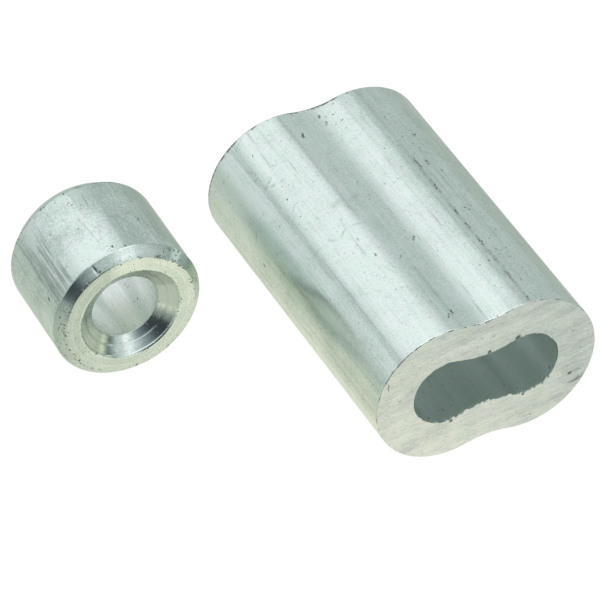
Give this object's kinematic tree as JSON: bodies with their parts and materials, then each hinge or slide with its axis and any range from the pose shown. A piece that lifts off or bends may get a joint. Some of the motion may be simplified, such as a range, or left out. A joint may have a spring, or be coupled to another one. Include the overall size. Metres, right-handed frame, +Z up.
{
  "type": "wire rope ferrule and stop set",
  "caption": "Hourglass crimp ferrule that clamps wire rope into an eye, with a loose round crimp stop that ends a rope, both bare aluminium.",
  "frame": {"origin": "middle of the footprint of the two loose pieces together, on the surface they lie on", "axes": "+Z up; +Y along the rope passages of both pieces; +X from the stop towards the ferrule, across its wide side"},
  "size_m": [0.0318, 0.026, 0.0109],
  "materials": {
    "extruded_aluminium": "bare mill finish with draw lines along the barrels, ends sawn",
    "turned_aluminium": "bare, mottled barrel with lengthwise scratches, bright turned chamfer and countersink"
  },
  "bodies": {
    "ferrule": {"double_ferrule": "extruded_aluminium"},
    "stop": {"stop_button": "turned_aluminium"}
  },
  "joints": [
    {"name": "stop_lift", "type": "slide", "parent": "ferrule", "child": "stop", "axis": [0, 0, 1], "range_m": [0, 0.03]}
  ]
}
